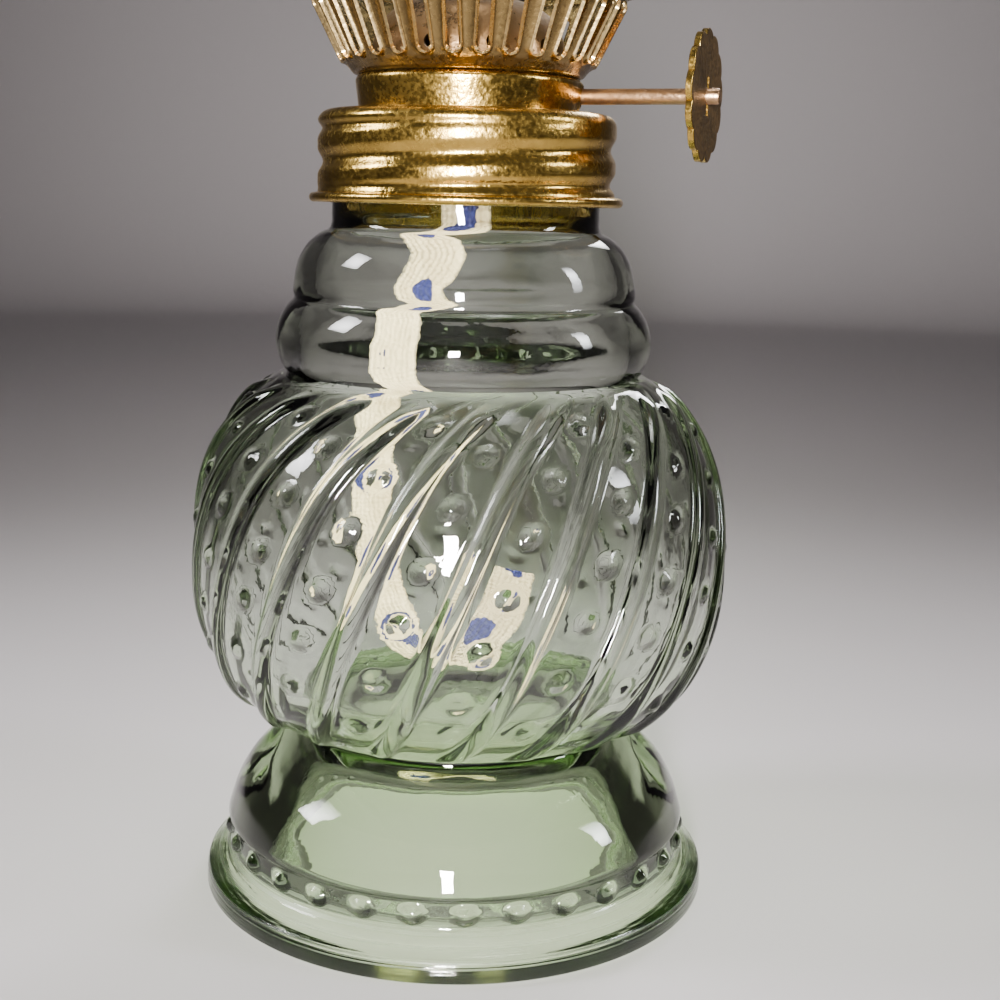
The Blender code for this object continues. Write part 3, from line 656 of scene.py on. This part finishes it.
def wick_tube(finish):
    """The flat tube round the wick, with two windows in its back for the wheels."""
    low, high, wall = TUBE_LOW_Z, TUBE_TOP_Z, TUBE_WALL
    steps = [(0, low), (0, 90.0), (0, 96.0), (0, high - 0.15), (wall * 0.25, high), (wall * 0.75, high),
             (wall, high - 0.15), (wall, 96.0), (wall, 90.0), (wall, low)]
    verts, faces = [], []
    for k, (inset, z) in enumerate(steps):
        ring = stadium_ring(TUBE_WIDTH - 2 * inset, TUBE_DEPTH - 2 * inset)
        verts += list(np.column_stack([ring, np.full(len(ring), z)]))
        count = len(ring)
        low_row = np.arange(count) + k * count
        high_row = np.arange(count) + (k + 1) % len(steps) * count
        faces += quads(low_row, high_row)
    tube = piece("tube_shell", verts, faces, "burner", ["wick_tube"], finish)
    windows = []
    for middle in (-WHEEL_X, WHEEL_X):
        left, right = middle - WINDOW_HALF, middle + WINDOW_HALF
        corners = [(left, 0.9), (right, 0.9), (right, 3.0), (left, 3.0)]
        heights = (SHAFT_Z - WINDOW_RISE, SHAFT_Z + WINDOW_RISE)
        windows.append(rod(*[[(*corner, z) for corner in corners] for z in heights]))
    cut_out(tube, windows)
    return tube


# ---------------------------------------------------------------- wick drive


def along_shaft(verts):
    """Lays points that were made round Z onto the shaft's line."""
    verts = np.array(verts)
    return np.column_stack([verts[:, 2], SHAFT_Y + verts[:, 0], SHAFT_Z + verts[:, 1]])


def wick_shaft(finish):
    """The spindle, with a chamfer at each end."""
    line = [(SHAFT_R - 0.2, -4.35), (SHAFT_R, -4.15)]
    line += [(SHAFT_R, x) for x in (2, 8, 13, 18, 23, 28.6)]
    line += [(SHAFT_R - 0.1, 28.85), (SHAFT_R - 0.3, 28.95)]
    skin = Skin().add(plain_rows(line, 40)).close_ends()
    return piece("shaft_rod", along_shaft(skin.verts), skin.faces, "drive", ["wick_shaft"], finish)


def wick_knob(rim_finish, knob_face_shade_finish):
    """The flat lobed disc, with sharp notches, an outer face painted dark as shade and a narrow slot for the
    shaft's end.
    """
    columns = KNOB_LOBES * KNOB_LOBE_COLUMNS
    angles = even_angles(columns)
    lobe = np.abs(np.cos(KNOB_LOBES * (angles - math.pi / 2) / 2)) ** 0.8
    back, front = KNOB_X + 0.02, KNOB_X + KNOB_THICK - 0.02
    inner = KNOB_R - KNOB_LOBE_HEIGHT - 1.0
    flat = straight((SHAFT_R + 0.08, 0), (inner, 0), 0.8)
    rim = [(KNOB_R - 0.35, 0), (KNOB_R - 0.12, 0), (KNOB_R - 0.03, 0.06)]
    line = [(radius, back + rise) for radius, rise in flat + rim]
    line += [(radius, front - rise) for radius, rise in (flat + rim)[::-1]]
    verts, faces = [], []
    for k, (radius, height) in enumerate(line):
        fluted = KNOB_LOBE_HEIGHT * (1 - lobe) if radius > inner + 0.1 else 0.0
        verts += list(circle(radius - fluted, angles, np.full(columns, height)))
        low = np.arange(columns) + k * columns
        high = np.arange(columns) + (k + 1) % len(line) * columns
        faces += quads(low, high)
    knob = piece("knob_disc", along_shaft(verts), faces, "drive", ["wick_knob"], rim_finish, 35)
    y, z = KNOB_SLOT_WIDTH / 2, KNOB_SLOT_LENGTH / 2
    corners = [(SHAFT_Y + side * y, SHAFT_Z + up * z) for side, up in ((-1, -1), (1, -1), (1, 1), (-1, 1))]
    cut_out(knob, [rod(*[[(x, *corner) for corner in corners] for x in (KNOB_X - 2, KNOB_X + 3)])])
    # The outer face gets the dark finish, which is painted shade.
    knob.data.materials.append(knob_face_shade_finish)
    for poly in knob.data.polygons:
        if poly.normal.x > 0.9 and poly.center.x > (KNOB_X + KNOB_THICK - 0.1) * MM:
            poly.material_index = 1
    return knob


# ---------------------------------------------------------------- wick


def wick_route():
    """The middle of the tape, from its lit end down the tube and into the bulb."""
    hanging = [
        (0, 0, WICK_BEND_Z), (-1.7, -0.8, 78.4), (-5.4, -2.3, 72.4), (-8.0, -3.2, 64.5), (-10.0, -4.2, 54.0),
        (-9.6, -4.4, 44.0), (-8.0, -4.0, 35.0), (-5.4, -3.2, 29.4), (-1.6, -1.8, 27.9), (2.6, 0.4, 29.6),
        (5.0, 2.6, 34.4), (5.6, 4.0, 38.6),
    ]
    flat = [np.array((0, 0, z)) for z in np.arange(105.3, WICK_BEND_Z + 0.4, -0.8)]
    return flat + catmull(hanging, 0.8)


def wick_tape(finish):
    """The flat wick, which sways and cups a little where it hangs free."""
    route = np.array(wick_route())
    along = np.gradient(route, axis=0)
    along /= np.linalg.norm(along, axis=1)[:, None]
    run = np.concatenate([[0], np.cumsum(np.linalg.norm(np.diff(route, axis=0), axis=1))])
    around = 28
    turn = even_angles(around)
    wide = np.sign(np.cos(turn)) * np.abs(np.cos(turn)) ** 0.45
    thick = np.sign(np.sin(turn)) * np.abs(np.sin(turn)) ** 0.55
    verts = []
    for point, forward, reach in zip(route, along, run):
        through = np.cross(forward, (1, 0, 0))
        through /= np.linalg.norm(through)
        side = np.cross(through, forward)
        free = np.clip((reach - 24) / 6, 0, 1)
        sway = free * (0.10 * math.sin(reach * 1.1) + 0.07 * math.sin(reach * 2.7 + 1))
        cup = free * 0.28 * (wide**2 - 0.4) * math.sin(reach * 0.19)
        half_w = (WICK_WIDTH / 2 - 0.25 * free) * wide + sway
        half_t = (WICK_THICK / 2 - 0.12 * free) * thick * (0.86 + 0.14 * np.abs(wide)) + cup * 0.5
        verts += list(point + side * half_w[:, None] + through * half_t[:, None])
    rows = [np.arange(around) + k * around for k in range(len(route))]
    faces = []
    for low, high in zip(rows, rows[1:]):
        faces += quads(low, high)
    faces += [tuple(rows[0]), tuple(rows[-1])]
    tape = piece("wick_tape", verts, faces, None, ["wick"], finish, 50)
    lay_out_tape(tape, np.array(verts) * MM, run, wide, around)
    return tape


def lay_out_tape(tape, points, run, wide, around):
    """A UV map in millimetres: U along the tape, V across it."""
    layer = tape.data.uv_layers.new(name="along_and_across")
    nearest = {}
    for k, point in enumerate(points):
        key = tuple(np.round(point, 6))
        nearest[key] = (run[k // around], wide[k % around] * WICK_WIDTH / 2)
    for loop in tape.data.loops:
        co = tape.data.vertices[loop.vertex_index].co
        layer.data[loop.index].uv = nearest.get(tuple(np.round(np.array(co, float), 6)), (0.0, 0.0))


# ---------------------------------------------------------------- chimney


def chimney(finish):
    """The glass chimney: a plain foot, a belly and a narrow top, with rounded rims."""
    low, high = CHIMNEY_LOW_Z, CHIMNEY_TOP_Z
    half, bulge = CHIMNEY_WALL / 2, 0.7
    middle = catmull(
        [(18.4, low + 0.8), (18.35, low + 3.5), (18.5, low + 7), (19.9, low + 13), (21.8, low + 20),
         (22.4, low + 26), (21.7, low + 34), (19.7, low + 42), (17.0, low + 50), (14.9, low + 58),
         (13.8, low + 66), (13.6, low + 74), (13.9, high - 4), (14.3, high - 0.9)], 1.0,
    )
    line = np.array(middle)
    along = np.gradient(line, axis=0)
    along /= np.linalg.norm(along, axis=1)[:, None]
    side = np.stack([along[:, 1], -along[:, 0]], axis=1) * half
    turns = np.linspace(0.3, 2.84, 6)
    top = [line[-1] + side[-1] * math.cos(t) + along[-1] * (bulge + 0.05) * math.sin(t) for t in turns]
    foot = [line[0] - side[0] * math.cos(t) - along[0] * bulge * math.sin(t) for t in turns]
    verts, faces = turned(list(line + side) + top + list((line - side)[::-1]) + foot, 160)
    return piece("chimney_shell", verts, faces, "chimney", ["chimney_glass"], finish, 60)


# ---------------------------------------------------------------- materials


class Finish:
    """A material with its Principled shader, and short ways to add texture nodes to it."""

    def __init__(self, name, colour, roughness, metallic=0.0):
        self.made = bpy.data.materials.new(name)
        self.made.use_nodes = True
        self.tree = self.made.node_tree
        self.shader = self.tree.nodes["Principled BSDF"]
        self.output = self.tree.nodes["Material Output"]
        self.set("Base Color", (*colour, 1.0))
        self.set("Roughness", roughness)
        self.set("Metallic", metallic)

    def set(self, socket, value):
        self.shader.inputs[socket].default_value = value

    def node(self, kind, **values):
        made = self.tree.nodes.new(kind)
        for key, value in values.items():
            setattr(made, key, value)
        return made

    def link(self, start, end):
        self.tree.links.new(start, end)

    def coordinates(self, kind="Object"):
        return self.node("ShaderNodeTexCoord").outputs[kind]

    def stretched(self, source, scale):
        mapping = self.node("ShaderNodeMapping")
        mapping.inputs["Scale"].default_value = scale
        self.link(source, mapping.inputs["Vector"])
        return mapping.outputs["Vector"]

    def noise(self, scale, detail=2.0, source=None, rough=0.5):
        made = self.node("ShaderNodeTexNoise")
        made.inputs["Scale"].default_value = scale
        made.inputs["Detail"].default_value = detail
        made.inputs["Roughness"].default_value = rough
        self.link(source or self.coordinates(), made.inputs["Vector"])
        return made.outputs["Fac"]

    def ramp(self, factor, stops):
        """A colour ramp. Stops are (place, number) or (place, (red, green, blue))."""
        made = self.node("ShaderNodeValToRGB")
        marks = made.color_ramp.elements
        while len(marks) < len(stops):
            marks.new(0.5)
        for mark, (place, value) in zip(marks, stops):
            mark.position = place
            mark.color = (value, value, value, 1) if isinstance(value, (int, float)) else (*value, 1)
        self.link(factor, made.inputs["Fac"])
        return made.outputs["Color"]

    def math(self, operation, a, b=None):
        made = self.node("ShaderNodeMath", operation=operation)
        for socket, value in zip(made.inputs, (a, b)):
            if value is None:
                continue
            if isinstance(value, (int, float)):
                socket.default_value = value
            else:
                self.link(value, socket)
        return made.outputs["Value"]

    def mix(self, factor, a, b):
        """Mixes two colours by a factor."""
        made = self.node("ShaderNodeMix", data_type="RGBA")
        self.link(factor, made.inputs[0])
        for socket, value in ((made.inputs[6], a), (made.inputs[7], b)):
            if isinstance(value, tuple):
                socket.default_value = (*value, 1)
            else:
                self.link(value, socket)
        return made.outputs[2]

    def bump(self, height, strength, distance, after=None):
        made = self.node("ShaderNodeBump")
        made.inputs["Strength"].default_value = strength
        made.inputs["Distance"].default_value = distance
        self.link(height, made.inputs["Height"])
        if after is not None:
            self.link(after, made.inputs["Normal"])
        return made.outputs["Normal"]

    def wear_normal(self, normal):
        self.link(normal, self.shader.inputs["Normal"])


def glass(name, depth_tint, density, shadow_tint, mould_lines):
    """Glass tinted by its depth. Its shadows are only tinted, and mould_lines adds the flange's lines."""
    finish = Finish(name, (0.985, 0.995, 0.985), 0.0)
    finish.set("Transmission Weight", 1.0)
    finish.set("IOR", 1.5)
    rough = finish.ramp(finish.noise(90, 4.0), [(0.50, 0.0), (0.80, 0.02)])
    waves = finish.bump(finish.noise(150, 1.0), 0.22, 0.0006)
    pits = finish.bump(finish.noise(1400, 1.0), 0.05, 0.0001, waves)
    if mould_lines:
        parts = finish.node("ShaderNodeSeparateXYZ")
        finish.link(finish.coordinates(), parts.inputs[0])
        x, y, z = parts.outputs
        squares = [finish.math("MULTIPLY", part, part) for part in (x, y)]
        reach = finish.math("SQRT", finish.math("ADD", *squares))
        ring = finish.node("ShaderNodeCombineXYZ")
        finish.link(finish.math("ADD", reach, z), ring.inputs[0])
        finish.link(finish.math("MULTIPLY", z, 0.6), ring.inputs[1])
        lines = finish.noise(2600, 3.0, ring.outputs[0])
        low = finish.math("LESS_THAN", z, FLANGE_TOP_Z * MM)
        pits = finish.bump(finish.math("MULTIPLY", lines, low), 0.55, 0.00025, pits)
        on_slope = finish.math("MULTIPLY", low, finish.math("GREATER_THAN", z, FLANGE_SLOPE_Z * MM))
        scuffs = finish.ramp(finish.math("MULTIPLY", lines, on_slope), [(0.44, 0.0), (0.60, 0.38)])
        rough = finish.math("MAXIMUM", rough, scuffs)
    finish.link(rough, finish.shader.inputs["Roughness"])
    finish.wear_normal(pits)
    clear = finish.node("ShaderNodeBsdfTransparent")
    clear.inputs["Color"].default_value = (*shadow_tint, 1)
    choose = finish.node("ShaderNodeMixShader")
    finish.link(finish.node("ShaderNodeLightPath").outputs["Is Shadow Ray"], choose.inputs[0])
    finish.link(finish.shader.outputs[0], choose.inputs[1])
    finish.link(clear.outputs[0], choose.inputs[2])
    finish.link(choose.outputs[0], finish.output.inputs["Surface"])
    depth = finish.node("ShaderNodeVolumeAbsorption")
    depth.inputs["Color"].default_value = (*depth_tint, 1)
    depth.inputs["Density"].default_value = density
    finish.link(depth.outputs[0], finish.output.inputs["Volume"])
    return finish.made


def plated(name, bright, dull, smooth_end, rough_end):
    """Thin bright plating: grainy, mottled and duller in patches."""
    finish = Finish(name, bright, smooth_end, 1.0)
    patches = finish.noise(160, 5.0, rough=0.65)
    grains = finish.noise(2300, 2.0)
    finish.link(finish.mix(finish.ramp(patches, [(0.40, 0.0), (0.72, 1.0)]), bright, dull),
                finish.shader.inputs["Base Color"])
    worn = finish.math("ADD", finish.math("MULTIPLY", patches, 0.6), finish.math("MULTIPLY", grains, 0.4))
    finish.link(finish.ramp(worn, [(0.38, smooth_end), (0.64, rough_end)]), finish.shader.inputs["Roughness"])
    rolling = finish.bump(finish.noise(420, 2.0), 0.22, 0.0003)
    finish.wear_normal(finish.bump(grains, 0.30, 0.00014, rolling))
    return finish.made


def steel():
    finish = Finish("plain_steel", (0.55, 0.53, 0.50), 0.35, 1.0)
    brushed = finish.noise(900, 3.0, finish.stretched(finish.coordinates(), (1, 1, 12)))
    finish.link(finish.ramp(brushed, [(0.3, 0.25), (0.7, 0.5)]), finish.shader.inputs["Roughness"])
    finish.wear_normal(finish.bump(brushed, 0.12, 0.0001))
    return finish.made


def cork():
    finish = Finish("pressed_cork", (0.45, 0.31, 0.18), 0.9)
    crumbs = finish.noise(900, 4.0)
    finish.link(finish.ramp(crumbs, [(0.35, (0.22, 0.13, 0.07)), (0.6, (0.55, 0.40, 0.24))]),
                finish.shader.inputs["Base Color"])
    finish.wear_normal(finish.bump(crumbs, 0.4, 0.0003))
    return finish.made


def cotton():
    """Woven tape: lengthwise cords, fine cross threads and groups of blue stitches."""
    finish = Finish("cotton_tape", (0.80, 0.72, 0.60), 0.92)
    finish.set("Sheen Weight", 0.08)
    finish.set("Sheen Roughness", 0.5)
    parts = finish.node("ShaderNodeSeparateXYZ")
    finish.link(finish.coordinates("UV"), parts.inputs[0])
    run, across = parts.outputs[0], parts.outputs[1]
    cords = finish.math("SINE", finish.math("MULTIPLY", across, TAU / CORD_PITCH))
    threads = finish.math("SINE", finish.math("MULTIPLY", run, TAU / THREAD_PITCH))
    weave = finish.math("ADD", finish.math("MULTIPLY", cords, 0.6), finish.math("MULTIPLY", threads, 0.4))
    fluff = finish.noise(1500, 4.0)
    blotch = finish.noise(240, 4.0)
    cloth = finish.mix(finish.ramp(blotch, [(0.35, 0.0), (0.7, 1.0)]), (0.74, 0.56, 0.38), (0.46, 0.33, 0.21))
    repeat = finish.math("FRACT", finish.math("ADD", finish.math("DIVIDE", run, STITCH_EVERY), STITCH_SHIFT))
    ahead = finish.math("MULTIPLY", finish.math("SUBTRACT", repeat, 0.5), STITCH_EVERY / STITCH_REACH)
    wander = finish.math("MULTIPLY", finish.math("SINE", finish.math("MULTIPLY", run, 0.41)), 1.2)
    aside = finish.math("DIVIDE", finish.math("SUBTRACT", across, wander), STITCH_HALF_WIDTH)
    away = finish.math("ADD", finish.math("MULTIPLY", ahead, ahead), finish.math("MULTIPLY", aside, aside))
    frayed = finish.math("ADD", away, finish.math("MULTIPLY", finish.noise(900, 2.0), 1.6))
    stitch = finish.math("LESS_THAN", frayed, 1.75)
    # The curled end of the tape is darker: partly soiling, partly painted shade.
    soiled_and_shaded = finish.ramp(finish.math("DIVIDE", run, 100.0), [(0.80, 0.0), (0.90, 0.75)])
    cloth = finish.mix(soiled_and_shaded, cloth, (0.36, 0.27, 0.19))
    finish.link(finish.mix(stitch, cloth, (0.004, 0.005, 0.075)), finish.shader.inputs["Base Color"])
    height = finish.math("ADD", weave, finish.math("MULTIPLY", fluff, 1.4))
    finish.wear_normal(finish.bump(height, 0.7, 0.00022))
    return finish.made


# ---------------------------------------------------------------- camera, floor and light


def camera():
    """Stands in front of the lamp, looks down a little and leans to one side."""
    lens = bpy.data.cameras.new("camera")
    lens.lens, lens.sensor_width = LENS, SENSOR
    lens.clip_start = 0.01
    eye = bpy.data.objects.new("camera", lens)
    bpy.context.scene.collection.objects.link(eye)
    turn = Matrix.Rotation(FRONT + math.radians(90), 4, "Z")
    place = Matrix.Translation(Vector(EYE_PLACE) * MM)
    tilt = Matrix.Rotation(math.radians(90 - EYE_DOWN), 4, "X")
    lean = Matrix.Rotation(math.radians(EYE_LEAN), 4, "Z")
    eye.matrix_world = turn @ place @ tilt @ lean
    bpy.context.scene.camera = eye


def floor():
    """A pale floor that curves up into a wall all round, outside the lights and every viewpoint."""
    flat, bend, wall = 900, 400, 1100
    line = chain([(flat + bend, wall)], arc((flat, bend), bend, 0, -90, 24), straight((flat, 0), (40, 0), 60))
    skin = Skin().add(plain_rows(line, 128))
    skin.faces.append(tuple(skin.rings[-1]))
    mesh = new_mesh("floor", skin.verts, skin.faces)
    mesh.shade_smooth()
    mesh.materials.append(Finish("pale_floor", (0.55, 0.515, 0.53), 0.85).made)
    ground = bpy.data.objects.new("floor", mesh)
    ground.location.z = -0.0002
    bpy.context.scene.collection.objects.link(ground)


def softbox(name, azimuth, height, distance, size, power, spread, colour=(1, 1, 1)):
    """An area light that faces the lamp and isn't seen itself, not even through the glass.

    Azimuth is counted from the viewer's side and, like the spread, is in degrees. Lengths are in metres.
    """
    data = bpy.data.lights.new(name, "AREA")
    data.shape = "RECTANGLE"
    data.size, data.size_y = size
    data.energy = power
    data.color = colour
    data.spread = math.radians(spread)
    lamp = bpy.data.objects.new(name, data)
    angle = FRONT + math.radians(azimuth)
    place = Vector((distance * math.cos(angle), distance * math.sin(angle), height))
    lamp.location = place
    lamp.rotation_euler = (Vector((0, 0, 0.07)) - place).to_track_quat("-Z", "Y").to_euler()
    lamp.visible_camera = False
    lamp.visible_transmission = False
    bpy.context.scene.collection.objects.link(lamp)


def studio():
    softbox("key_light", -86, 0.42, 0.55, (0.16, 0.22), 0.15, 30, (0.98, 0.98, 0.98))
    softbox("front_light", -3, 0.11, 0.62, (0.06, 0.15), 1.8, 48, (1.0, 0.97, 0.94))
    softbox("side_light", 80, 0.28, 0.55, (0.08, 0.30), 0.08, 26, (0.95, 0.97, 1.0))
    softbox("back_light", 158, 0.46, 0.62, (0.30, 0.20), 0.14, 25)
    softbox("top_light", 120, 0.85, 0.10, (0.30, 0.30), 0.07, 22)
    world = bpy.data.worlds.new("studio")
    bpy.context.scene.world = world
    world.use_nodes = True
    sky = world.node_tree.nodes["Background"].inputs
    sky["Color"].default_value = (0.50, 0.49, 0.50, 1)
    sky["Strength"].default_value = 0.20


# ---------------------------------------------------------------- the lamp


def main():
    camera()
    brass = plated("brass_plating", (0.62, 0.40, 0.09), (0.29, 0.18, 0.04), 0.14, 0.34)
    bowl_brass = plated("bowl_plating", (0.28, 0.19, 0.075), (0.15, 0.10, 0.04), 0.18, 0.36)
    # Lighter brass painted on the slots' lips as a highlight.
    lip_highlight_brass = plated("lip_painted_highlight", (0.82, 0.60, 0.28), (0.66, 0.46, 0.20), 0.20, 0.34)
    # Copper painted darker than the shaft's, as painted shade on the deflector down inside the bowl.
    deflector_shaded_copper = plated("deflector_painted_shade", (0.30, 0.175, 0.08), (0.16, 0.09, 0.04), 0.25, 0.45)
    copper = plated("coppery_plating", (0.40, 0.24, 0.13), (0.21, 0.125, 0.065), 0.28, 0.5)
    # Dark bronze painted on the knob's outer face as shade, since that face is turned from the light.
    dark = plated("knob_face_painted_shade", (0.19, 0.12, 0.05), (0.10, 0.06, 0.028), 0.3, 0.55)
    green = glass("green_glass", (0.63, 0.73, 0.53), 114.0, (0.75, 0.79, 0.70), True)
    clear = glass("clear_glass", (0.75, 0.90, 0.80), 15.0, (0.97, 0.98, 0.97), False)

    font(green)
    screw_cap(brass)
    burner_drum(brass)
    gallery_bowl(bowl_brass, lip_highlight_brass)
    flame_deflector(deflector_shaded_copper)
    wick_tube(brass)
    wick_shaft(copper)
    wick_knob(brass, dark)
    tape = wick_tape(cotton())
    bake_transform(tape)
    chimney(clear)

    kept = {"neck_washer": cork(), "base_cup": brass, "wheel_housing": steel(),
            "wick_wheel_left": steel(), "wick_wheel_right": steel()}
    for node, finish in kept.items():
        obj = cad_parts[node]
        obj.data.materials.clear()
        obj.data.materials.append(finish)
    floor()
    studio()


main()
